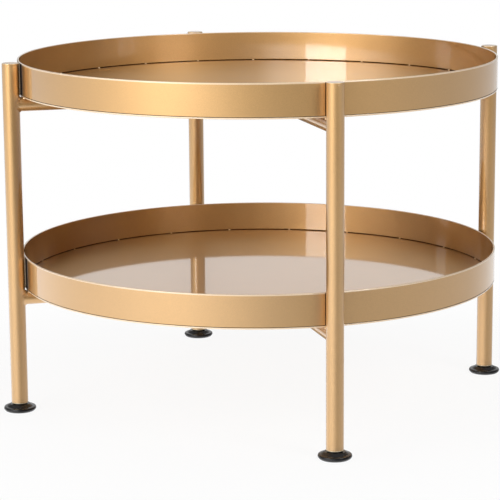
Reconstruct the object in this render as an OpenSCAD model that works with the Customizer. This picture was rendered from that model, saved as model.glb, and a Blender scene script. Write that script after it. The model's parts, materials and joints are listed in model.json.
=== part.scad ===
// Two-tier round tray table. Two shallow steel trays lie on crossed tube bars
// between four round legs, and each leg stands on a black foot that screws in and out.
// The origin is on the ground under the middle of the table, with +Z up.
// The legs stand on the axes: front on -Y, right on +X, rear on +Y and left on -X.

/* [Trays] */
// Outside diameter of both trays
tray_d = 550; // [400:10:700]
// Height of a tray, from under its floor to its top edge
tray_h = 37.5; // [25:0.5:60]
// Thickness of the strip that makes a rim
rim_t = 2; // [1.2:0.2:4]
// Thickness of a tray's floor sheet
floor_t = 2; // [1:0.5:4]
// Bevel on the edges that meet along a tray's outer seam
seam_bevel = 0.4; // [0.1:0.1:0.6]
// Height of the upper tray's top edge above the ground
upper_top = 399; // [330:1:500]
// Height of the lower tray's top edge above the ground
lower_top = 177.5; // [110:0.5:240]

/* [Legs] */
// Outside diameter of a leg tube
leg_d = 19; // [17:0.5:26]
// Wall thickness of a leg tube
leg_wall = 1.2; // [0.8:0.1:2]
// Gap between a leg and the rims
leg_gap = 2.1; // [1:0.1:5]
// Height of a leg's top above the upper tray's edge
leg_rise = 1; // [0:0.5:10]
// Thickness of the plate that closes a leg's top
cap_t = 2.5; // [2:0.5:6]
// Radius of the rounded edge of that plate
cap_edge_r = 1.2; // [0.4:0.2:1.8]
// Length of the cap's plug inside the tube
cap_plug_l = 4; // [2:0.5:10]

/* [Cross bars] */
// Outside diameter of a cross bar
bar_d = 16; // [12:0.5:17]
// Wall thickness of a cross bar
bar_wall = 1.2; // [0.8:0.1:2]

/* [Welds] */
// Width of the bead round the end of a bar
bead_w = 1.6; // [0.8:0.1:1.8]
// Radius of a spot that joins a rim to a floor along the inner seam
spot_r = 1.9; // [1:0.1:3]
// Number of spots in the upper tray
upper_spots = 24; // [8:1:36]
// Number of spots in the lower tray
lower_spots = 22; // [8:1:36]
// Radius of a spot that joins a bar to the tray at the rim
bar_spot_r = 2.2; // [1.6:0.1:3]
// Radius of a spot that joins the bars to each other
middle_spot_r = 2.6; // [1.5:0.1:4]

/* [Feet] */
// Diameter of a foot's flange
foot_d = 37; // [32:1:46]
// Radius of the flange's rounded edge
foot_edge_r = 2.5; // [2:0.1:2.7]
// Diameter of the step between the flange and the shoulder
step_d = 29; // [26:0.5:31]
// Height of that step above the ground
step_h = 5.6; // [5.5:0.1:6.5]
// Height of a foot's shoulder above the ground
foot_h = 7.8; // [7:0.2:14]
// Diameter of the top of the shoulder
shoulder_d = 22.4; // [20:0.2:26]
// Diameter of the neck between the shoulder and the leg
neck_d = 16; // [13.5:0.5:18]
// Height of the neck
neck_h = 0.9; // [0.6:0.1:3]
// Diameter of the stud
stud_d = 8; // [6:1:10]
// Length of the stud above the neck
stud_l = 26; // [20:1:40]
// Diameter of the stud's head inside the foot
head_d = 13; // [11:0.5:14]
// Thickness of the stud's head
head_t = 2.2; // [1.5:0.1:3]
// Length of the threaded insert inside the leg
insert_l = 15; // [8:1:25]
// Thickness of the insert's flange, which closes the end of the leg
flange_t = 1; // [0.8:0.1:3]

/* [Hidden] */
// Air between welded or pressed pieces, which their joint closes
fit_gap = 0.1;
// Air between a tray's underside and the bars
seat_gap = 0.2;
// Air between a foot's neck and the insert above it
foot_gap = 0.3;
// Running clearance on the radius of the stud
stud_gap = 0.05;
// Height of the plastic under the stud's head
sole_t = 2.5;
// How much of the flange's round the shoulder's slope cuts off
flange_trim = 0.4;
// Bevel on the shoulder's top edge
shoulder_bevel = 0.4;
// Width by which a bead stays inside the flanks of its leg
bead_inset = 0.3;
// Share of a spot's radius by which its centre stands off its corner
spot_off = 0.3;
// Overshoot of cutting bodies
cut = 5;

tray_r = tray_d / 2;
rim_in_r = tray_r - rim_t;
upper_under = upper_top - tray_h;
lower_under = lower_top - tray_h;

leg_r = leg_d / 2;
leg_bore_r = leg_r - leg_wall;
leg_circle_r = tray_r + leg_gap + leg_r;
leg_top = upper_top + leg_rise;
neck_top = foot_h + neck_h;
leg_end = neck_top + foot_gap;

bar_r = bar_d / 2;
// Beads stay clear of the trays' edges and off the flanks of the legs
bead = min(bead_w, leg_gap - fit_gap);
bead_r = min(bar_r + bead, leg_r - bead_inset);

steel = "#c69c63";
weld = "#dcb98a";
black = "#1d1e20";
zinc = "#b9b7b1";

$fn = 96;

SIDES = ["front", "right", "rear", "left"];

// Turn of each side about the table's axis, from the right-hand side
function side_angle(side) = side == "right" ? 0 : side == "rear" ? 90 : side == "left" ? 180 : 270;

// Height of the axis of the bars under a tray
function bar_z(under) = under - seat_gap - bar_r;

// Puts a shape drawn on the origin where a leg stands
module at_leg(side) {
    rotate(side_angle(side)) translate([leg_circle_r, 0, 0]) children();
}

// A round body along +X, from one radius of the table to another
module radial_rod(r, from, to) {
    translate([from, 0, 0]) rotate([0, 90, 0]) cylinder(r = r, h = to - from);
}

module leg_tube() {
    color(steel)
    translate([0, 0, leg_end + flange_t])
    difference() {
        cylinder(r = leg_r, h = leg_top - cap_t - leg_end - flange_t);
        translate([0, 0, -cut]) cylinder(r = leg_bore_r, h = leg_top);
    }
}

// Plate on top of the tube, with a plug inside it
module leg_cap() {
    color(steel)
    translate([0, 0, leg_top - cap_t])
    rotate_extrude() {
        square([leg_r - cap_edge_r, cap_t]);
        square([leg_r, cap_t - cap_edge_r]);
        intersection() {
            translate([leg_r - cap_edge_r, cap_t - cap_edge_r]) circle(r = cap_edge_r);
            square([leg_r + cut, cap_t + cut]);
        }
        translate([0, -cap_plug_l]) square([leg_bore_r - fit_gap, cap_plug_l]);
    }
}

// Threaded bush in the tube's lower end; the thread is drawn as a plain bore
module leg_insert() {
    color(zinc)
    translate([0, 0, leg_end])
    difference() {
        union() {
            cylinder(r = leg_r, h = flange_t);
            cylinder(r = leg_bore_r - fit_gap, h = flange_t + insert_l);
        }
        translate([0, 0, -cut]) cylinder(d = stud_d, h = insert_l + flange_t + 2 * cut);
    }
}

// Stud with a round head; the thread is drawn as a plain shank
module foot_stud() {
    color(zinc) {
        translate([0, 0, sole_t]) cylinder(d = head_d, h = head_t);
        translate([0, 0, sole_t]) cylinder(r = stud_d / 2 - stud_gap, h = neck_top + stud_l - sole_t);
    }
}

// Outline of a foot: flat sole, rounded flange, stepped slope, shoulder and neck
module foot_outline() {
    sole_r = foot_d / 2 - foot_edge_r;
    flange_h = 2 * foot_edge_r - flange_trim;
    slope_w = sqrt(pow(foot_edge_r, 2) - pow(foot_edge_r - flange_trim, 2));
    square([sole_r, flange_h]);
    intersection() {
        translate([sole_r, foot_edge_r]) circle(r = foot_edge_r);
        square([foot_d, flange_h]);
    }
    polygon([
        [0, 0],
        [sole_r, 0],
        [sole_r + slope_w, flange_h],
        [step_d / 2, step_h],
        [shoulder_d / 2, foot_h - shoulder_bevel],
        [shoulder_d / 2 - shoulder_bevel, foot_h],
        [0, foot_h]
    ]);
    square([neck_d / 2, neck_top]);
}

module foot() {
    color(black)
    difference() {
        rotate_extrude() foot_outline();
        translate([0, 0, sole_t]) cylinder(r = head_d / 2 + stud_gap, h = head_t + stud_gap);
        translate([0, 0, sole_t]) cylinder(d = stud_d, h = neck_top + cut);
    }
}

// Strip of a rim, with a full round on its top edge and a bevel at the outer seam
module tray_rim(under) {
    height = tray_h - floor_t;
    color(steel)
    translate([0, 0, under + floor_t])
    rotate_extrude($fn = 192)
    translate([rim_in_r, 0]) {
        polygon([
            [0, 0],
            [rim_t - seam_bevel, 0],
            [rim_t, seam_bevel],
            [rim_t, height - rim_t / 2],
            [0, height - rim_t / 2]
        ]);
        translate([rim_t / 2, height - rim_t / 2]) circle(d = rim_t);
    }
}

// Round sheet under the rim, as wide as the rim
module tray_floor(under) {
    color(steel)
    translate([0, 0, under])
    rotate_extrude($fn = 192)
    polygon([
        [0, 0],
        [tray_r - seam_bevel, 0],
        [tray_r, seam_bevel],
        [tray_r, floor_t - seam_bevel],
        [tray_r - seam_bevel, floor_t],
        [0, floor_t]
    ]);
}

// Weld spots in the corner between the floor and the inside of the rim
module tray_spots(under, count) {
    floor_top = under + floor_t;
    color(weld)
    for (i = [0 : count - 1])
        rotate(i * 360 / count)
        intersection() {
            translate([rim_in_r - spot_r * spot_off, 0, floor_top + spot_r * spot_off]) sphere(r = spot_r, $fn = 32);
            translate([0, -cut, floor_top]) cube([rim_in_r - fit_gap, 2 * cut, tray_h]);
        }
}

// What a bar's end meets: the outside of a leg, with the gap that the weld closes
module leg_seat(z) {
    translate([leg_circle_r, 0, z - bar_d]) cylinder(r = leg_r + fit_gap, h = 2 * bar_d);
}

// Bar that runs from the left leg to the right leg
module long_bar(under) {
    z = bar_z(under);
    color(steel)
    difference() {
        translate([0, 0, z]) radial_rod(bar_r, -leg_circle_r, leg_circle_r);
        translate([0, 0, z]) radial_rod(bar_r - bar_wall, -leg_circle_r - cut, leg_circle_r + cut);
        for (side = ["right", "left"]) rotate(side_angle(side)) leg_seat(z);
    }
}

// Bar from the long bar to a leg, shaped round both
module half_bar(under, side) {
    z = bar_z(under);
    color(steel)
    rotate(side_angle(side))
    difference() {
        translate([0, 0, z]) radial_rod(bar_r, 0, leg_circle_r);
        translate([0, 0, z]) radial_rod(bar_r - bar_wall, -cut, leg_circle_r + cut);
        leg_seat(z);
        translate([0, 0, z]) rotate(90) radial_rod(bar_r + fit_gap, -bar_d, bar_d);
    }
}

// Bead in the corner between a leg and the bar that it carries
module leg_bead(z) {
    difference() {
        intersection() {
            translate([0, 0, z]) radial_rod(bead_r, leg_circle_r - leg_r - bead, leg_circle_r);
            translate([leg_circle_r, 0, z - bar_d]) cylinder(r = leg_r + bead, h = 2 * bar_d);
        }
        translate([0, 0, z]) radial_rod(bar_r + fit_gap, 0, leg_circle_r + cut);
        leg_seat(z);
    }
}

// The two beads on one leg
module leg_welds(side) {
    color(weld)
    rotate(side_angle(side))
    for (under = [upper_under, lower_under]) leg_bead(bar_z(under));
}

// Spots in the four corners where the bars cross, and on both flanks of each bar under the rim
module bar_spots(under) {
    z = bar_z(under);
    corner = bar_r + middle_spot_r * spot_off;
    color(weld)
    difference() {
        for (side = SIDES)
            rotate(side_angle(side)) {
                translate([corner, corner, z]) sphere(r = middle_spot_r, $fn = 32);
                for (flank = [-1, 1])
                    translate([tray_r - bar_spot_r / 2, flank * bar_r * cos(45), under - bar_spot_r / 2])
                    sphere(r = bar_spot_r, $fn = 32);
            }
        for (turn = [0, 90])
            rotate(turn) translate([0, 0, z]) radial_rod(bar_r + fit_gap, -leg_circle_r, leg_circle_r);
        translate([0, 0, under]) cylinder(r = leg_circle_r, h = tray_h);
    }
}

for (side = SIDES) {
    at_leg(side) leg_tube();
    at_leg(side) leg_cap();
    at_leg(side) leg_insert();
    at_leg(side) foot_stud();
    at_leg(side) foot();
    leg_welds(side);
}

tray_rim(upper_under);  // upper_tray_rim
tray_floor(upper_under);  // upper_tray_floor
tray_spots(upper_under, upper_spots);  // upper_tray_spots
long_bar(upper_under);  // upper_long_bar
half_bar(upper_under, "front");  // upper_front_bar
half_bar(upper_under, "rear");  // upper_rear_bar
bar_spots(upper_under);  // upper_bar_spots

tray_rim(lower_under);  // lower_tray_rim
tray_floor(lower_under);  // lower_tray_floor
tray_spots(lower_under, lower_spots);  // lower_tray_spots
long_bar(lower_under);  // lower_long_bar
half_bar(lower_under, "front");  // lower_front_bar
half_bar(lower_under, "rear");  // lower_rear_bar
bar_spots(lower_under);  // lower_bar_spots
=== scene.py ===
import json
import math

import bmesh
import bpy
from mathutils import Matrix, Vector, noise

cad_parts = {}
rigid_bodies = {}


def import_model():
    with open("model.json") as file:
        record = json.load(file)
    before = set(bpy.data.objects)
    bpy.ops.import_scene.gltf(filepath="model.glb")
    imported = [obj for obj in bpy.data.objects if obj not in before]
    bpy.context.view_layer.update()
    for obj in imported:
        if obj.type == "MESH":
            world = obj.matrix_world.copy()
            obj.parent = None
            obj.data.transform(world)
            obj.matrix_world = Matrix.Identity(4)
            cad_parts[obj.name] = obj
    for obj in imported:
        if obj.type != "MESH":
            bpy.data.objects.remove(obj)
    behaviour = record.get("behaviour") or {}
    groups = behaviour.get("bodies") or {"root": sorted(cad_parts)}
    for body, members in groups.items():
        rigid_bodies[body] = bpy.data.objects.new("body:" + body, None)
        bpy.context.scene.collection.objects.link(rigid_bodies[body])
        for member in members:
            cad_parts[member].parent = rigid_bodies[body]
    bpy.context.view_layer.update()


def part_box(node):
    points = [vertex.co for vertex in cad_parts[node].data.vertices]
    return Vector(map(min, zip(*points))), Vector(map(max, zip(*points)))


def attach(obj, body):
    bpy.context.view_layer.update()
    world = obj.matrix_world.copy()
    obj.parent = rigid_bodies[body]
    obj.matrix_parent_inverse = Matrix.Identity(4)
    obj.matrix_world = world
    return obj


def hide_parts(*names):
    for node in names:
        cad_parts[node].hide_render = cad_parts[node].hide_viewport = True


for thing in list(bpy.data.objects):
    bpy.data.objects.remove(thing)

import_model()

MM = 0.001
UPWARD = Vector((0, 0, 1))

# Sizes that the frame's boxes don't give, the same as in the part's source
RIM_T = 2 * MM
SEAM_BEVEL = 0.4 * MM
TRAY_SPOTS = {"upper": 24, "lower": 22}
LEG_WALL = 1.2 * MM
CAP_T = 2.5 * MM
CAP_EDGE_R = 1.2 * MM
BAR_WALL = 1.2 * MM
BEAD_W = 1.6 * MM
FIT_GAP = 0.1 * MM
INSERT_FLANGE_T = 1 * MM
STUD_BORE_R = 4 * MM
STUD_GAP = 0.05 * MM
HEAD_R = 6.5 * MM
HEAD_T = 2.2 * MM
FOOT_EDGE_R = 2.5 * MM
FOOT_STEP_R = 14.5 * MM
FOOT_STEP_H = 5.6 * MM
FOOT_SHOULDER_R = 11.2 * MM
FOOT_SHOULDER_H = 7.8 * MM
FOOT_NECK_R = 8 * MM

# Turn of each side about the table's axis, in degrees
SIDES = {"right": 0, "rear": 90, "left": 180, "front": 270}

# Points round a tube or a foot and round a tray, and steps along a fine or a coarse rounded edge
ROUND = 96
RING = 720
FINE_STEPS = 8
COARSE_STEPS = 5
# Bend in degrees over which an edge stays sharp, on a thread and elsewhere
THREAD_CREASE = 60
CREASE = 50


# Meshes

ON_AXIS = 1e-7


def skin(name, rings, loop=False, capped=False, crease=CREASE):
    """A mesh over a list of rings of points; a ring of one point is a pole."""
    shape = bmesh.new()
    lines = [[shape.verts.new(point) for point in ring] for ring in rings]
    pairs = list(zip(lines, lines[1:]))
    if loop:
        pairs.append((lines[-1], lines[0]))
    for a, b in pairs:
        for i in range(max(len(a), len(b))):
            corners = [a[i % len(a)], a[(i + 1) % len(a)], b[(i + 1) % len(b)], b[i % len(b)]]
            shape.faces.new(dict.fromkeys(corners))
    if capped:
        shape.faces.new(lines[0])
        shape.faces.new(lines[-1])
    bmesh.ops.recalc_face_normals(shape, faces=shape.faces)
    mesh = bpy.data.meshes.new(name)
    shape.to_mesh(mesh)
    shape.free()
    mesh.shade_smooth()
    mesh.set_sharp_from_angle(angle=math.radians(crease))
    piece = bpy.data.objects.new(name, mesh)
    bpy.context.scene.collection.objects.link(piece)
    return piece


def flat_shaded(piece):
    """Keeps flat faces flat beside rounded edges."""
    piece.modifiers.new("weighted_normals", "WEIGHTED_NORMAL").keep_sharp = True
    return piece


def circle(r, z, count=ROUND):
    """Points round the Z axis at a radius and a height."""
    angles = [math.tau * k / count for k in range(count)]
    return [(r * math.cos(angle), r * math.sin(angle), z) for angle in angles]


def eased(corners, steps=COARSE_STEPS):
    """An outline from (r, z, radius) corners, each rounded to its radius."""
    points = []
    for i, (r, z, radius) in enumerate(corners):
        corner = Vector((r, z))
        if not radius:
            points.append(corner)
            continue
        back = (Vector(corners[i - 1][:2]) - corner).normalized()
        ahead = (Vector(corners[(i + 1) % len(corners)][:2]) - corner).normalized()
        half = back.angle(ahead) / 2
        centre = corner + (back + ahead).normalized() * radius / math.sin(half)
        start = corner + back * radius / math.tan(half) - centre
        end = corner + ahead * radius / math.tan(half) - centre
        turn = start.angle_signed(end)
        for k in range(steps + 1):
            spoke = start.copy()
            spoke.rotate(Matrix.Rotation(-turn * k / steps, 2))
            points.append(centre + spoke)
    return points


def turned(name, outline, segments=ROUND, closed=True):
    """A body of revolution about Z from (r, z) points; a closed outline runs back to its first point."""
    rings = [circle(r, z, segments if r > ON_AXIS else 1) for r, z in outline]
    return flat_shaded(skin(name, rings, loop=closed))


def repaint(piece, look, chosen):
    """Gives another look to the faces that chosen picks by their radius, centre and normal."""
    piece.data.materials.append(look)
    for face in piece.data.polygons:
        if chosen(math.hypot(face.center.x, face.center.y), face.center, face.normal):
            face.material_index = len(piece.data.materials) - 1


def move_to(piece, turn, at=(0, 0, 0)):
    """Puts a shape drawn on the origin at a place, then turns it about the table's axis by degrees."""
    piece.data.transform(Matrix.Rotation(math.radians(turn), 4, "Z") @ Matrix.Translation(at))
    return piece


def stand_for(piece, node, body, slot, look=None):
    """Puts a piece in the place of a CAD node, with its slot's look or one of its own."""
    piece.data.materials.append(look or MATERIALS[slot])
    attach(piece, body)
    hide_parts(node)


def joined(name, pieces):
    """One object from several meshes."""
    shape = bmesh.new()
    for piece in pieces:
        shape.from_mesh(piece.data)
        bpy.data.objects.remove(piece)
    mesh = bpy.data.meshes.new(name)
    shape.to_mesh(mesh)
    shape.free()
    whole = bpy.data.objects.new(name, mesh)
    bpy.context.scene.collection.objects.link(whole)
    return whole


# Welds

# Points across a weld, steps along a short one, and degrees per step round a bar
WELD_STEPS = 8
TACK_STEPS = 12
SADDLE_STEP = 2.5
# How far a weld's root and edges sink into the metal
WELD_ROOT = 0.05 * MM
WELD_SINK = 0.12 * MM
# Where a short weld's rounded ends are cut, as a share of its length, and how blunt a long one's are
TACK_TIP = 0.985
SADDLE_BLUNT = 0.02
# Unevenness of a weld's size, and the ripple along it
GRAIN_DEPTH, GRAIN_SCALE = 0.10, 900
RIPPLE_DEPTH, RIPPLE_PITCH = 0.08, 1.1 * MM
# A weld's face: 1 is round, 2 is flat and more is hollow
TACK_HOLLOW = 1.1
MIDDLE_HOLLOW = 1.6
BEAD_HOLLOW = 2.5


def weld_ring(corner, along, up, size, hollow, seed):
    """Cross-section of a weld in the corner between two surfaces, along one and up the other."""
    grain = 1 + GRAIN_DEPTH * noise.noise(corner * GRAIN_SCALE + Vector((seed, 0, 0)))
    ring = [corner - (along + up) * WELD_ROOT]
    for k in range(WELD_STEPS + 1):
        angle = k / WELD_STEPS * math.pi / 2
        share_a, share_b = math.cos(angle) ** hollow, math.sin(angle) ** hollow
        # Only the two edges sink
        sink = WELD_SINK * (share_a ** 6 + share_b ** 6)
        point = corner + (along * share_a + up * share_b) * size * grain
        ring.append(point - (along * share_b + up * share_a) * sink)
    return ring


def ripple(distance):
    """Scale of a weld's section along its length, as each drop of metal froze over the last."""
    return 1 + RIPPLE_DEPTH * (abs(math.sin(math.pi * distance / RIPPLE_PITCH)) - 0.5)


def saddle_weld(name, rod_r, post_r, size, start, end, hollow):
    """Weld round a rod that comes from -X to a post along Z, over an arc in degrees about the rod."""
    whole = end - start >= 360
    count = int((end - start) / SADDLE_STEP)
    # Radians to each side, for the way that the joint runs
    nudge = 0.01

    def on_joint(angle):
        y, z = rod_r * math.cos(angle), rod_r * math.sin(angle)
        return Vector((-math.sqrt(max(post_r ** 2 - y ** 2, 0)), y, z))

    rings, distance, last = [], 0, None
    for k in range(count if whole else count + 1):
        angle = math.radians(start + (end - start) * k / count)
        corner = on_joint(angle)
        distance += (corner - last).length if last else 0
        last = corner
        tangent = (on_joint(angle + nudge) - on_joint(angle - nudge)).normalized()
        rod_out = Vector((0, math.cos(angle), math.sin(angle)))
        post_out = Vector((corner.x, corner.y, 0)).normalized()
        along = tangent.cross(rod_out).normalized()
        up = tangent.cross(post_out).normalized()
        along *= -math.copysign(1, along.x)
        up *= math.copysign(1, up.dot(rod_out))
        taper = 1 if whole else math.sqrt(max(1 - (2 * k / count - 1) ** 4, SADDLE_BLUNT))
        rings.append(weld_ring(corner, along, up, size * taper * ripple(distance), hollow, rod_r))
    return skin(name, rings, loop=whole, capped=not whole)


def tack(name, corner, forward, along, up, length, size, seed):
    """A short weld along a straight corner, rounded at both ends."""
    rings = []
    for k in range(TACK_STEPS + 1):
        u = TACK_TIP * (2 * k / TACK_STEPS - 1)
        place = corner + forward * length * u / 2
        rings.append(weld_ring(place, along, up, size * math.sqrt(1 - u * u), TACK_HOLLOW, seed))
    return skin(name, rings, capped=True)


# Materials

def add_node(tree, kind, sockets=(), **settings):
    """A node with its settings, and its sockets set or linked."""
    made = tree.nodes.new("ShaderNode" + kind)
    for key, value in settings.items():
        setattr(made, key, value)
    for key, value in dict(sockets).items():
        if isinstance(value, bpy.types.NodeSocket):
            tree.links.new(value, made.inputs[key])
        else:
            made.inputs[key].default_value = value
    return made


def new_material(name):
    """A material with its node tree and its surface shader."""
    material = bpy.data.materials.new(name)
    material.use_nodes = True
    tree = material.node_tree
    shader = next(n for n in tree.nodes if n.type == "BSDF_PRINCIPLED")
    return material, tree, shader


def noise_field(tree, place, scale, detail):
    """Cloudy noise between 0 and 1."""
    return add_node(tree, "TexNoise", {"Vector": place, "Scale": scale, "Detail": detail}).outputs["Fac"]


def spread(tree, value, low, high):
    """A 0 to 1 value spread over a range."""
    return add_node(tree, "MapRange", {"Value": value, "To Min": low, "To Max": high}).outputs["Result"]


def maths(tree, operation, a, b):
    """What an operation makes of two values."""
    return add_node(tree, "Math", {0: a, 1: b}, operation=operation).outputs["Value"]


def tinted(tree, colour, factor):
    """A colour made lighter or darker by a factor."""
    return add_node(tree, "VectorMath", {0: colour, 1: factor}, operation="MULTIPLY").outputs["Vector"]


def bumped(tree, height, depth, under=None):
    """A normal bent by a height of the given depth in metres."""
    sockets = {"Height": height, "Distance": depth, "Strength": 1}
    if under is not None:
        sockets["Normal"] = under
    return add_node(tree, "Bump", sockets).outputs["Normal"]


def dress(tree, shader, base, roughness, normal, values):
    """Links a shader's base colour, roughness and normal, and sets its other sockets."""
    tree.links.new(base, shader.inputs["Base Color"])
    tree.links.new(roughness, shader.inputs["Roughness"])
    tree.links.new(normal, shader.inputs["Normal"])
    for socket, value in values.items():
        shader.inputs[socket].default_value = value


PAINT_ROUGHNESS, FLAKE_ROUGHNESS = 0.45, 0.05
FLAKE_DEPTH = 0.004 * MM
COAT_ROUGHNESS, COAT_IOR = 0.05, 1.7


def gold_paint(name, colour, peel_depth, lump_depth=0, metal=0.9):
    """Satin metallic base with fine flakes under a hard clear coat with a slight orange peel."""
    material, tree, shader = new_material(name)
    place = add_node(tree, "TexCoord").outputs["Object"]
    flakes = add_node(tree, "TexVoronoi", {"Vector": place, "Scale": 2600}).outputs["Color"]
    flake = add_node(tree, "SeparateColor", {"Color": flakes}).outputs["Red"]
    peel = noise_field(tree, place, scale=330, detail=1.5)
    cloud = noise_field(tree, place, scale=14, detail=3)
    shade = maths(tree, "MULTIPLY", spread(tree, flake, 0.92, 1.06), spread(tree, cloud, 0.96, 1.04))
    roughness = spread(tree, flake, PAINT_ROUGHNESS - FLAKE_ROUGHNESS, PAINT_ROUGHNESS + FLAKE_ROUGHNESS)
    coat_normal = bumped(tree, peel, peel_depth)
    if lump_depth:
        lumps = noise_field(tree, place, scale=1500, detail=3)
        coat_normal = bumped(tree, lumps, lump_depth, coat_normal)
    flake_normal = bumped(tree, flake, FLAKE_DEPTH, coat_normal)
    coat = {"Coat Weight": 1, "Coat Roughness": COAT_ROUGHNESS, "Coat IOR": COAT_IOR}
    dress(tree, shader, tinted(tree, colour, shade), roughness, flake_normal, {"Metallic": metal, **coat})
    tree.links.new(coat_normal, shader.inputs["Coat Normal"])
    return material


def foot_black(name):
    """Glossy black moulded plastic with a faint grain."""
    material, tree, shader = new_material(name)
    place = add_node(tree, "TexCoord").outputs["Object"]
    grain = noise_field(tree, place, scale=1800, detail=2)
    smudge = noise_field(tree, place, scale=130, detail=4)
    base = tinted(tree, (0.008, 0.008, 0.009), spread(tree, smudge, 0.7, 1.4))
    roughness = spread(tree, smudge, 0.16, 0.34)
    dress(tree, shader, base, roughness, bumped(tree, grain, 0.01 * MM), {"IOR": 1.5})
    return material


def zinc_steel(name):
    """Zinc-plated steel with fine turning marks."""
    material, tree, shader = new_material(name)
    place = add_node(tree, "TexCoord").outputs["Object"]
    long_way = add_node(tree, "Mapping", {"Vector": place, "Scale": (60, 60, 4000)}).outputs["Vector"]
    marks = noise_field(tree, long_way, scale=1, detail=2)
    bloom = noise_field(tree, place, scale=420, detail=3)
    base = tinted(tree, (0.56, 0.55, 0.52), spread(tree, bloom, 0.85, 1.1))
    roughness = spread(tree, bloom, 0.22, 0.42)
    dress(tree, shader, base, roughness, bumped(tree, marks, 0.004 * MM), {"Metallic": 1})
    return material


def shade_steel(name):
    """Dull dark brown steel that paints shade in a seam's groove, where the steel is also bare, and a
    shadow on the rim right behind a leg.
    """
    material, tree, shader = new_material(name)
    place = add_node(tree, "TexCoord").outputs["Object"]
    stain = noise_field(tree, place, scale=260, detail=3)
    base = tinted(tree, (0.03, 0.014, 0.005), spread(tree, stain, 0.5, 1.5))
    roughness = spread(tree, stain, 0.6, 0.9)
    dress(tree, shader, base, roughness, bumped(tree, stain, 0.05 * MM), {"Specular IOR Level": 0.05})
    return material


def lip_highlight(name):
    """Pale brass that paints a highlight on the lip that the foot's insert shows at the leg's end."""
    material, tree, shader = new_material(name)
    place = add_node(tree, "TexCoord").outputs["Object"]
    wear = noise_field(tree, place, scale=520, detail=3)
    base = tinted(tree, (0.98, 0.84, 0.58), spread(tree, wear, 0.85, 1.02))
    roughness = spread(tree, wear, 0.3, 0.5)
    dress(tree, shader, base, roughness, bumped(tree, wear, 0.01 * MM), {"Metallic": 0.7})
    return material


PEEL_DEPTH = 0.003 * MM
# Painted shade for the seams' grooves and painted shadow on the rims behind the legs
SEAM_SHADE = shade_steel("seam_shade_look")
# Painted highlight on the insert's lip at each leg's end
LIP_HIGHLIGHT = lip_highlight("lip_highlight_look")
# Pale paint that paints a highlight on the rounded edges of lips, sheets and caps
EDGE_HIGHLIGHT = gold_paint("edge_highlight_look", (0.90, 0.70, 0.48), PEEL_DEPTH, metal=0.35)
BEAD_PAINT = gold_paint("bead_look", (0.66, 0.41, 0.18), 2 * PEEL_DEPTH, lump_depth=0.03 * MM)
MATERIALS = {
    "gold_paint": gold_paint("gold_paint_look", (0.66, 0.40, 0.165), PEEL_DEPTH),
    # Lighter paint on the welds paints their highlights
    "weld_gold": gold_paint("weld_highlight_look", (0.78, 0.56, 0.31), 0.01 * MM, lump_depth=0.05 * MM),
    "foot_black": foot_black("foot_black_look"),
    "zinc_steel": zinc_steel("zinc_steel_look"),
}


# Trays

TRAY_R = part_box("upper_tray_floor")[1].x
RIM_IN_R = TRAY_R - RIM_T
# Rounding of the outer edges of sheet and rim, of the edges inside the seam, and of the rim's lip
SHEET_EASE = 0.3 * MM
SEAM_EASE = 0.1 * MM
LIP_R = 0.95 * MM
# The inner foot of the rim is rounded, so a gap shows where it meets the floor, and painted shade on the
# gap's lower faces makes the line dark
RIM_FOOT_R = 1.4 * MM
# How far the painted highlight comes down the outside of a lip, and how much a face must look up to take
# it
HIGHLIGHT_H = 1.6 * MM
HIGHLIGHT_RISE = 0.1
# How far the painted shade comes up from the seam, and how wide the painted shadow is behind a leg
SHADE_H = 0.8 * MM
SHADED_W = 14 * MM
# Faces nearer than this to a wall's radius belong to the wall
WALL_SKIN = 0.1 * MM
# Mean and spread of the size of a spot, and the stride of its noise
SPOT_W = 1.4 * MM
SPOT_SPREAD = 0.4 * MM
SPOT_STRIDE = 1.7


def in_seam(r):
    """Whether a radius is inside the rim's wall."""
    return RIM_IN_R + WALL_SKIN < r < TRAY_R - WALL_SKIN


def tray_sheet(tier):
    """A tray's floor, with a painted highlight on its edge and painted shade in the seam, where the steel
    is bare.
    """
    low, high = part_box(f"{tier}_tray_floor")
    sheet = turned(f"{tier}_tray_sheet", eased([
        (0, low.z, 0),
        (TRAY_R - SEAM_BEVEL, low.z, SHEET_EASE),
        (TRAY_R, low.z + SEAM_BEVEL, SHEET_EASE),
        (TRAY_R, high.z - SEAM_BEVEL, SHEET_EASE),
        (TRAY_R - SEAM_BEVEL, high.z, SEAM_EASE),
        (0, high.z, 0),
    ]), RING, closed=False)
    stand_for(sheet, f"{tier}_tray_floor", "table", "gold_paint")
    # Painted shade in the seam's groove at the sheet's edge
    repaint(sheet, SEAM_SHADE, lambda r, at, normal: in_seam(r) and at.z > high.z - SEAM_BEVEL)
    # Painted highlight on the sheet's outer edge
    repaint(sheet, EDGE_HIGHLIGHT, lambda r, at, normal:
            r > TRAY_R - SHEET_EASE and at.z < high.z - SEAM_BEVEL)


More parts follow.
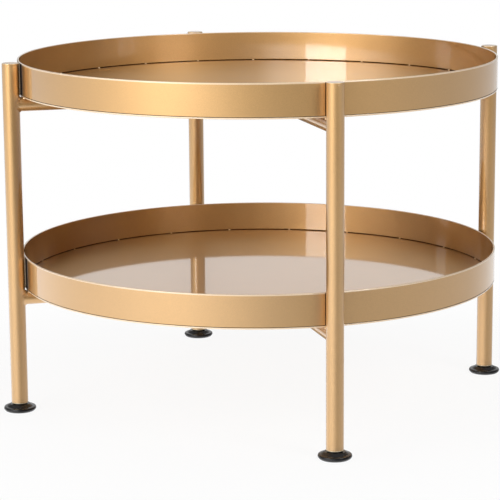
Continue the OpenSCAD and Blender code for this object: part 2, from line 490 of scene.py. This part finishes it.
def rim_strip(tier):
    """A tray's rim, with a painted highlight on its lip, painted shade in the seam, where the steel is
    bare, and a painted shadow right behind the legs.
    """
    floor_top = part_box(f"{tier}_tray_floor")[1].z
    rim_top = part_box(f"{tier}_tray_rim")[1].z
    strip = turned(f"{tier}_rim_strip", eased([
        (RIM_IN_R, floor_top, RIM_FOOT_R),
        (TRAY_R - SEAM_BEVEL, floor_top, SEAM_EASE),
        (TRAY_R, floor_top + SEAM_BEVEL, SHEET_EASE),
        (TRAY_R, rim_top - HIGHLIGHT_H, 0),
        (TRAY_R, rim_top, LIP_R),
        (RIM_IN_R, rim_top, LIP_R),
    ], FINE_STEPS), RING)
    stand_for(strip, f"{tier}_tray_rim", "table", "gold_paint")
    # Painted highlight on the lip's outer face and on its upward faces
    repaint(strip, EDGE_HIGHLIGHT, lambda r, at, normal:
            r > TRAY_R - LIP_R and at.z > rim_top - HIGHLIGHT_H
            or normal.z > HIGHLIGHT_RISE and at.z > rim_top - RIM_T / 2)
    # Painted shade in the seam's groove, and a painted shadow on the rim's outside right behind each leg
    repaint(strip, SEAM_SHADE, lambda r, at, normal:
            in_seam(r) and at.z < floor_top + SHADE_H
            or r > TRAY_R - WALL_SKIN and min(abs(at.x), abs(at.y)) < SHADED_W / 2)


def seam_tacks(tier, spots):
    """The spots of weld in the corner between a tray's floor and rim."""
    floor_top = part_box(f"{tier}_tray_floor")[1].z
    dabs = []
    for k in range(spots):
        turn = math.tau * k / spots
        inward = Vector((-math.cos(turn), -math.sin(turn), 0))
        sideways = Vector((inward.y, -inward.x, 0))
        corner = Vector((0, 0, floor_top)) - inward * RIM_IN_R
        size = SPOT_W + SPOT_SPREAD * noise.noise(Vector((k * SPOT_STRIDE, spots, 0)))
        dabs.append(tack("dab", corner, sideways, inward, UPWARD, 2 * size, size, seed=k))
    stand_for(joined(f"{tier}_seam_tacks", dabs), f"{tier}_tray_spots", "table", "weld_gold")


for tier, spots in TRAY_SPOTS.items():
    tray_sheet(tier)
    rim_strip(tier)
    seam_tacks(tier, spots)


# Legs

leg_low, leg_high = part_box("front_leg")
LEG_R = (leg_high.x - leg_low.x) / 2
LEG_BORE_R = LEG_R - LEG_WALL
PLUG_R = LEG_BORE_R - FIT_GAP
LEG_CIRCLE = -(leg_high.y + leg_low.y) / 2
LEG_SPOT = (LEG_CIRCLE, 0, 0)
# Rounding of the edges where the cap meets the tube, and where the insert meets it
CAP_SEAM_EASE = 0.25 * MM
INSERT_SEAM_EASE = 0.15 * MM
# Rounding of the tube's bore, of the ends of the plugs in it, and of the insert's lip and bore
TUBE_BORE_EASE = 0.1 * MM
PLUG_EASE = 0.5 * MM
INSERT_LIP_EASE = 0.7 * MM
INSERT_BORE_EASE = 0.3 * MM
# How much the faces of a cap's edge that take the painted highlight look up, from the least to the most
CAP_HIGHLIGHT_RISE = (0.3, 0.97)


def leg_tube(side, turn):
    """A leg's tube, from the insert up to the cap."""
    tube = turned(f"{side}_leg_tube", eased([
        (LEG_BORE_R, leg_low.z, TUBE_BORE_EASE),
        (LEG_R, leg_low.z, INSERT_SEAM_EASE),
        (LEG_R, leg_high.z, CAP_SEAM_EASE),
        (LEG_BORE_R, leg_high.z, TUBE_BORE_EASE),
    ]))
    stand_for(move_to(tube, turn, LEG_SPOT), f"{side}_leg", "table", "gold_paint")


def leg_plate(side, turn):
    """The cap on a leg's top, with a painted highlight on its edge."""
    low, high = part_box(f"{side}_leg_cap")
    least, most = CAP_HIGHLIGHT_RISE
    cap = turned(f"{side}_leg_plate", eased([
        (0, low.z, 0),
        (PLUG_R, low.z, PLUG_EASE),
        (PLUG_R, high.z - CAP_T, 0),
        (LEG_R, high.z - CAP_T, CAP_SEAM_EASE),
        (LEG_R, high.z, CAP_EDGE_R),
        (0, high.z, 0),
    ], FINE_STEPS), closed=False)
    stand_for(cap, f"{side}_leg_cap", "table", "gold_paint")
    # Painted highlight on the upward faces of the cap's edge
    repaint(cap, EDGE_HIGHLIGHT, lambda r, at, normal: r > LEG_R - CAP_EDGE_R and least < normal.z < most)
    move_to(cap, turn, LEG_SPOT)


def leg_bush(side, turn):
    """The insert at a leg's foot, whose flange shows as a bright lip with a painted highlight."""
    low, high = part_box(f"{side}_leg_insert")
    bush = turned(f"{side}_leg_bush", eased([
        (STUD_BORE_R, low.z, INSERT_BORE_EASE),
        (LEG_R, low.z, INSERT_LIP_EASE),
        (LEG_R, low.z + INSERT_FLANGE_T, INSERT_SEAM_EASE),
        (PLUG_R, low.z + INSERT_FLANGE_T, 0),
        (PLUG_R, high.z, PLUG_EASE),
        (STUD_BORE_R, high.z, INSERT_BORE_EASE),
    ]))
    stand_for(move_to(bush, turn, LEG_SPOT), f"{side}_leg_insert", "table", "gold_paint", LIP_HIGHLIGHT)


for side, turn in SIDES.items():
    leg_tube(side, turn)
    leg_plate(side, turn)
    leg_bush(side, turn)


# Cross bars

bar_low, bar_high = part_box("upper_long_bar")
BAR_R = (bar_high.z - bar_low.z) / 2
LEG_SEAT_R = LEG_R + FIT_GAP
BAR_SEAT_R = BAR_R + FIT_GAP
BAR_END_EASE = 0.15 * MM
# The seams in the middle: their size, the degrees that each reaches up and down the bar's flank, and
# where the flanks are, in degrees round the bar
MIDDLE_WELD_W = 2.4 * MM
MIDDLE_ARC = 52
FLANK_ARCS = (90, 270)
# The wedges of weld between a bar's flanks and the tray: their size, how far they stand from the
# bar's axis and below the tray, and the slopes of their two faces
WEDGE_L = 5.2 * MM
WEDGE_W = 3.1 * MM
WEDGE_OFF = 3.6 * MM
WEDGE_DROP = 0.45 * MM
WEDGE_RISE = 0.08
WEDGE_SLANT = (0.80, -0.60)


def bar_axis(tier):
    """Height of the axis of a tray's bars."""
    low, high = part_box(f"{tier}_long_bar")
    return (low.z + high.z) / 2


def bar_ring(r, end, axis_z):
    """Points round a bar at radius r, each as far along X as the end's shape says."""
    ring = []
    for k in range(ROUND):
        angle = math.tau * k / ROUND
        y, z = r * math.cos(angle), r * math.sin(angle)
        ring.append((end(y, z), y, axis_z + z))
    return ring


# A bar ends at the side of its own leg, of the leg opposite, or of the bar in the middle

def leg_side(y, z):
    return LEG_CIRCLE - math.sqrt(LEG_SEAT_R ** 2 - y ** 2)


def far_leg_side(y, z):
    return -leg_side(y, z)


def middle_side(y, z):
    return math.sqrt(BAR_SEAT_R ** 2 - z ** 2)


def bar(name, start, end, axis_z):
    """A tube along X, cut at both ends to the shape of what it meets."""
    bore_r, eased_r = BAR_R - BAR_WALL, BAR_R - BAR_END_EASE

    def shifted(shape, by):
        return lambda y, z: shape(y, z) + by

    rings = [
        bar_ring(eased_r, start, axis_z), bar_ring(BAR_R, shifted(start, BAR_END_EASE), axis_z),
        bar_ring(BAR_R, shifted(end, -BAR_END_EASE), axis_z), bar_ring(eased_r, end, axis_z),
        bar_ring(bore_r, end, axis_z), bar_ring(bore_r, start, axis_z),
    ]
    return flat_shaded(skin(name, rings, loop=True))


def through_bar(tier):
    """The bar from the left leg to the right leg."""
    tube = bar(f"{tier}_through_tube", far_leg_side, leg_side, bar_axis(tier))
    stand_for(tube, f"{tier}_long_bar", "table", "gold_paint")


def half_bar(tier, side):
    """The bar from the middle of the through bar to the front or the rear leg."""
    half = bar(f"{tier}_{side}_half_tube", middle_side, leg_side, bar_axis(tier))
    stand_for(move_to(half, SIDES[side]), f"{tier}_{side}_bar", "table", "gold_paint")


def middle_seam(side, arc, axis_z):
    """Weld between the through bar and a half bar, on one flank of the half bar."""
    seam = saddle_weld("dab", BAR_R, BAR_SEAT_R, MIDDLE_WELD_W, arc - MIDDLE_ARC, arc + MIDDLE_ARC,
                       MIDDLE_HOLLOW)
    lay_down = Matrix.Rotation(math.radians(90), 4, "X") @ Matrix.Rotation(math.radians(180), 4, "Z")
    seam.data.transform(lay_down)
    return move_to(seam, SIDES[side], (0, 0, axis_z))


def rim_wedge(tier, turn, flank):
    """Weld between one flank of a bar and the underside of the tray, at the rim."""
    low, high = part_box(f"{tier}_tray_floor")
    seat = Vector((high.x - WEDGE_L / 2, flank * WEDGE_OFF, low.z - WEDGE_DROP))
    outward = Vector((0, flank, WEDGE_RISE))
    down = Vector((0, flank * WEDGE_SLANT[0], WEDGE_SLANT[1]))
    wedge = tack("dab", seat, Vector((1, 0, 0)), outward, down, WEDGE_L, WEDGE_W, seed=turn + flank)
    return move_to(wedge, turn)


def bar_tacks(tier):
    """The welds of a tray's bars: four seams in the middle and two wedges at each end."""
    dabs = [middle_seam(side, arc, bar_axis(tier)) for side in ("rear", "front") for arc in FLANK_ARCS]
    dabs += [rim_wedge(tier, turn, flank) for turn in SIDES.values() for flank in (-1, 1)]
    stand_for(joined(f"{tier}_bar_tacks", dabs), f"{tier}_bar_spots", "table", "weld_gold")


def leg_beads(side, turn):
    """The beads round the ends of both bars on one leg."""
    beads = []
    for tier in TRAY_SPOTS:
        bead = saddle_weld("bead", BAR_R, LEG_R, BEAD_W, 0, 360, BEAD_HOLLOW)
        beads.append(move_to(bead, turn, (LEG_CIRCLE, 0, bar_axis(tier))))
    stand_for(joined(f"{side}_leg_beads", beads), f"{side}_leg_welds", "table", "weld_gold", BEAD_PAINT)


for tier in TRAY_SPOTS:
    through_bar(tier)
    half_bar(tier, "front")
    half_bar(tier, "rear")
    bar_tacks(tier)

for side, turn in SIDES.items():
    leg_beads(side, turn)


# Feet

foot_low, foot_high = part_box("front_foot")
stud_low, stud_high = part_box("front_foot_stud")
FOOT_R = (foot_high.x - foot_low.x) / 2
SOLE_R = FOOT_R - FOOT_EDGE_R
# The foot's flange bulges from the sole's edge over its widest line to the foot of the slope: how far
# out and how high its corners are, and the radii that round them
SOLE_OUT, SOLE_EASE = 0.6 * MM, 1.2 * MM
WIDEST_H, WIDEST_EASE = 2.3 * MM, 1.6 * MM
SLOPE_OUT, SLOPE_H, SLOPE_EASE = 1.9 * MM, 4.7 * MM, 0.9 * MM
# The bevel of the step in the slope, and the rounding of the step, shoulder, neck, hole and head
STEP_BEVEL, STEP_FOOT_EASE, STEP_TOP_EASE = 0.5 * MM, 0.4 * MM, 0.3 * MM
SHOULDER_EASE = 0.5 * MM
NECK_FOOT_EASE, NECK_TOP_EASE = 0.25 * MM, 0.3 * MM
STUD_HOLE_EASE = 0.2 * MM
HEAD_EASE = 0.3 * MM
# The thread: its pitch, by which the record couples turn and travel, its depth, the share of the pitch
# that its flanks take, how far below the neck's top it starts, and the rows of points in a turn
THREAD_PITCH = 1.25 * MM
THREAD_DEPTH = 0.68 * MM
FLANK_SHARE = 2 / 3
THREAD_SINK = 2 * MM
THREAD_ROWS = 12


def foot_moulding(side, turn):
    """A foot with its flat sole, round flange, stepped slope and neck, hollow where it holds the stud."""
    pocket_r = HEAD_R + STUD_GAP
    pocket_low, pocket_high = stud_low.z - STUD_GAP, stud_low.z + HEAD_T + STUD_GAP
    foot = turned(f"{side}_foot_moulding", eased([
        (0, foot_low.z, 0),
        (SOLE_R + SOLE_OUT, foot_low.z, SOLE_EASE),
        (FOOT_R, foot_low.z + WIDEST_H, WIDEST_EASE),
        (SOLE_R + SLOPE_OUT, foot_low.z + SLOPE_H, SLOPE_EASE),
        (FOOT_STEP_R, FOOT_STEP_H - STEP_BEVEL, STEP_FOOT_EASE),
        (FOOT_STEP_R - STEP_BEVEL, FOOT_STEP_H, STEP_TOP_EASE),
        (FOOT_SHOULDER_R, FOOT_SHOULDER_H, SHOULDER_EASE),
        (FOOT_NECK_R, FOOT_SHOULDER_H, NECK_FOOT_EASE),
        (FOOT_NECK_R, foot_high.z, NECK_TOP_EASE),
        (STUD_BORE_R, foot_high.z, STUD_HOLE_EASE),
        (STUD_BORE_R, pocket_high, 0),
        (pocket_r, pocket_high, 0),
        (pocket_r, pocket_low, 0),
        (0, pocket_low, 0),
    ]), closed=False)
    stand_for(move_to(foot, turn, LEG_SPOT), f"{side}_foot", f"{side}_foot", "foot_black")


def threaded_stud(side, turn):
    """A round head under a shank with a real metric thread."""
    low, top = stud_low.z, stud_high.z
    thread_low = foot_high.z - THREAD_SINK
    crest = STUD_BORE_R - STUD_GAP
    head_top = low + HEAD_T
    rings = [[(0, 0, low)], circle(HEAD_R - HEAD_EASE, low), circle(HEAD_R, low + HEAD_EASE),
             circle(HEAD_R, head_top - HEAD_EASE), circle(HEAD_R - HEAD_EASE, head_top),
             circle(crest, head_top)]
    rows = round((top - thread_low) / THREAD_PITCH * THREAD_ROWS)
    for row in range(rows + 1):
        z = thread_low + (top - thread_low) * row / rows
        # The thread runs out at its foot and is chamfered at its tip
        run_out = min((z - thread_low) / THREAD_PITCH, 1)
        tip = min((top - z) / THREAD_PITCH, 1)
        ring = []
        for k in range(ROUND):
            angle = math.tau * k / ROUND
            phase = (z / THREAD_PITCH - k / ROUND) % 1
            groove = min(max(0.5 + (0.5 - abs(2 * phase - 1)) / FLANK_SHARE, 0), 1)
            r = crest - THREAD_DEPTH * max(groove * run_out, 1 - tip)
            ring.append((r * math.cos(angle), r * math.sin(angle), z))
        rings.append(ring)
    rings.append([(0, 0, top)])
    stud = skin(f"{side}_threaded_stud", rings, crease=THREAD_CREASE)
    stand_for(move_to(stud, turn, LEG_SPOT), f"{side}_foot_stud", f"{side}_stud", "zinc_steel")


for side, turn in SIDES.items():
    foot_moulding(side, turn)
    threaded_stud(side, turn)


# Camera, at the photograph's angle

CAMERA_AZIMUTH = math.radians(16.1208)
CAMERA_DISTANCE = 2.4008
CAMERA_HEIGHT = 0.6536
CAMERA_PITCH = math.radians(11.3947)
# In radians
CAMERA_YAW = -0.00416
CAMERA_ROLL = -0.00682
# In millimetres, as Blender takes them
LENS = 150.44
SENSOR_W = 36
# In metres
CLIP_NEAR, CLIP_FAR = 0.05, 60

heading = CAMERA_AZIMUTH + CAMERA_YAW
level_right = Vector((math.cos(heading), -math.sin(heading), 0))
level_ahead = Vector((math.sin(heading), math.cos(heading), 0))
ahead = level_ahead * math.cos(CAMERA_PITCH) - UPWARD * math.sin(CAMERA_PITCH)
top = level_ahead * math.sin(CAMERA_PITCH) + UPWARD * math.cos(CAMERA_PITCH)
right = level_right * math.cos(CAMERA_ROLL) + top * math.sin(CAMERA_ROLL)
up = top * math.cos(CAMERA_ROLL) - level_right * math.sin(CAMERA_ROLL)
place = Vector((-CAMERA_DISTANCE * math.sin(CAMERA_AZIMUTH),
                -CAMERA_DISTANCE * math.cos(CAMERA_AZIMUTH), CAMERA_HEIGHT))
lens = bpy.data.cameras.new("camera")
lens.lens, lens.sensor_width = LENS, SENSOR_W
lens.clip_start, lens.clip_end = CLIP_NEAR, CLIP_FAR
camera = bpy.data.objects.new("camera", lens)
bpy.context.scene.collection.objects.link(camera)
camera.matrix_world = Matrix.LocRotScale(place, Matrix((right, up, -ahead)).transposed(), None)
bpy.context.scene.camera = camera


# Studio: directions are turns to the right of the way to the camera, seen from the table, and
# heights of directions are sines of their elevation

TO_CAMERA = Vector((-math.sin(CAMERA_AZIMUTH), -math.cos(CAMERA_AZIMUTH), 0))
TO_RIGHT = Vector((math.cos(CAMERA_AZIMUTH), -math.sin(CAMERA_AZIMUTH), 0))


def way(degrees):
    """The level direction at a turn."""
    return TO_CAMERA * math.cos(math.radians(degrees)) + TO_RIGHT * math.sin(math.radians(degrees))


def softbox(name, turns, edges, distance, radiance):
    """An upright lamp that faces the table, between two turns and between the heights of its edges."""
    left, right = turns
    low, high = edges
    width = 2 * distance * math.tan(math.radians(right - left) / 2)
    lamp = bpy.data.lights.new(name, "AREA")
    lamp.shape, lamp.size, lamp.size_y = "RECTANGLE", width, high - low
    lamp.energy = radiance * math.pi * width * (high - low)
    shown = bpy.data.objects.new(name, lamp)
    bpy.context.scene.collection.objects.link(shown)
    place = way((left + right) / 2) * distance
    shown.location = place + UPWARD * (low + high) / 2
    shown.rotation_euler = (-place).to_track_quat("-Z", "Y").to_euler()
    shown.visible_camera = False


# The key stands low on the left with a dimmer part under it, the banks stand higher on both sides, and
# the strip stands on the left behind the table
KEY_TURNS = (-49.7, -26.8)
softbox("key", KEY_TURNS, edges=(0.492, 0.64), distance=1.6, radiance=9)
softbox("key_spill", KEY_TURNS, edges=(0.40, 0.492), distance=1.6, radiance=5.5)
softbox("left_bank", (-80, -32), edges=(0.9, 2.0), distance=1.9, radiance=3.6)
softbox("right_bank", (37, 55), edges=(0.9, 1.9), distance=1.9, radiance=11)
softbox("side_strip", (-118, -110), edges=(0.56, 0.8), distance=2.0, radiance=1.2)


def smooth_step(tree, value, low, high, start=0, end=1):
    """Goes from start to end while the value goes from low to high."""
    sockets = {"Value": value, "From Min": low, "From Max": high, "To Min": start, "To Max": end}
    return add_node(tree, "MapRange", sockets, interpolation_type="SMOOTHSTEP").outputs["Result"]


def toward(tree, direction, axis):
    """How much a direction points along an axis."""
    return add_node(tree, "VectorMath", {0: direction, 1: axis}, operation="DOT_PRODUCT").outputs["Value"]


def mixed(tree, factor, a, b):
    """A blend that is a at factor 0 and b at factor 1."""
    return add_node(tree, "Mix", {"Factor": factor, "A": a, "B": b}).outputs["Result"]


HIGHEST_LEVEL = 4


def all_round(tree, turn, levels):
    """A level at each turn round the table, from (degrees, level) stops."""
    node = add_node(tree, "ValToRGB", {"Fac": turn})
    stops = node.color_ramp.elements
    while len(stops) < len(levels):
        stops.new(0.5)
    for stop, (degrees, level) in zip(stops, levels):
        stop.position = degrees / 360 + 0.5
        stop.color = (*[level / HIGHEST_LEVEL] * 3, 1)
    return maths(tree, "MULTIPLY", node.outputs["Color"], HIGHEST_LEVEL)


# Levels of the surroundings by turn, in rings from the floor up. The floor is best lit near the table,
# and dark where the backdrop's left foot leaves a gap
FLOOR_NEAR = [
    (-180, 1.0), (-176, 0.9), (-170, 0.04), (-151.5, 0.04), (-149.5, 1.6), (-90, 1.35), (-60, 1.5),
    (-30, 1.4), (-5, 0.95), (25, 0.45), (60, 0.65), (90, 0.75), (120, 0.75), (150, 0.95), (180, 1.0),
]
FLOOR_FAR = [
    (-180, 1.0), (-176, 0.8), (-170, 0.03), (-151.5, 0.03), (-149.5, 0.72), (-90, 0.72), (-60, 0.45),
    (-30, 0.5), (-5, 0.06), (30, 0.03), (60, 0.36), (90, 0.55), (150, 0.65), (165, 0.8), (180, 1.0),
]
# Low on the left stand bright windows, and behind the table the white backdrop
LOW_AIR = [
    (-180, 1.0), (-165, 0.3), (-150, 0.0), (-100, 0.02), (-78, 0.5), (-62, 2.2), (-50, 2.9), (-24, 3.3),
    (-10, 3.1), (0, 0.8), (15, 0.1), (30, 0.0), (150, 0.0), (165, 0.3), (180, 1.0),
]
ROOM = [
    (-180, 1.0), (-165, 1.0), (-150, 0.45), (-120, 0.0), (-90, 0.28), (-60, 0.22), (-30, 0.16), (0, 0.0),
    (60, 0.0), (90, 0.25), (120, 0.0), (150, 0.32), (165, 1.0), (180, 1.0),
]
CEILING = [
    (-180, 0.85), (-150, 0.5), (-120, 0.0), (-50, 0.0), (0, 0.5), (50, 0.0), (120, 0.0), (150, 0.5),
    (180, 0.85),
]
UNDERFOOT, OVERHEAD = 1.2, 0.4
# What the camera itself sees round the table
BACKDROP = 1.0

world = bpy.data.worlds.new("studio")
bpy.context.scene.world = world
world.use_nodes = True
tree = world.node_tree
background = next(n for n in tree.nodes if n.type == "BACKGROUND")
direction = add_node(tree, "TexCoord").outputs["Generated"]
to_right = toward(tree, direction, TO_RIGHT)
to_camera = toward(tree, direction, TO_CAMERA)
# The turn of a direction as a share of a whole one, with 0.5 toward the camera
angle = maths(tree, "ARCTAN2", to_right, to_camera)
turn = maths(tree, "ADD", maths(tree, "DIVIDE", angle, math.tau), 0.5)
height = toward(tree, direction, UPWARD)
# Each ring takes over from the one below it between two heights
rings = [
    (-0.56, -0.44, all_round(tree, turn, FLOOR_NEAR)),
    (-0.22, -0.10, all_round(tree, turn, FLOOR_FAR)),
    (-0.02, 0.02, all_round(tree, turn, LOW_AIR)),
    (0.12, 0.17, all_round(tree, turn, ROOM)),
    (0.27, 0.33, all_round(tree, turn, CEILING)),
    (0.60, 0.70, OVERHEAD),
]
level = UNDERFOOT
for low, high, upper in rings:
    level = mixed(tree, smooth_step(tree, height, low, high), level, upper)
rays = add_node(tree, "LightPath").outputs
tree.links.new(mixed(tree, rays["Is Camera Ray"], level, BACKDROP), background.inputs["Strength"])
background.inputs["Color"].default_value = (1, 1, 1, 1)

# The floor is a thin clouded sheet over the white studio: it takes the shadow, and a foot that is
# screwed down past it still shows. Its cloud is densest near the table and ends at CLOUD_R
FLOOR_R = 6
FLOOR_DROP = 0.2 * MM
FLOOR_POINTS = 128
CLOUD_CORE_R, CLOUD_R = 0.25, 0.7
CLOUD_SHARE = 0.09
PAPER = (0.92, 0.92, 0.92, 1)

floor = turned("floor", [(0, -FLOOR_DROP), (FLOOR_R, -FLOOR_DROP)], FLOOR_POINTS, closed=False)
sheet_material, tree, shader = new_material("floor_look")
tree.nodes.remove(shader)
spot = add_node(tree, "TexCoord").outputs["Object"]
away = add_node(tree, "VectorMath", {0: spot}, operation="LENGTH").outputs["Value"]
share = smooth_step(tree, away, CLOUD_CORE_R, CLOUD_R, start=CLOUD_SHARE, end=0)
paper = add_node(tree, "BsdfDiffuse", {"Color": PAPER}).outputs["BSDF"]
clear = add_node(tree, "BsdfTransparent").outputs["BSDF"]
blend = add_node(tree, "MixShader", {0: share, 1: clear, 2: paper}).outputs["Shader"]
out = next(n for n in tree.nodes if n.type == "OUTPUT_MATERIAL")
tree.links.new(blend, out.inputs["Surface"])
floor.data.materials.append(sheet_material)

bpy.context.scene.view_settings.view_transform = "Standard"
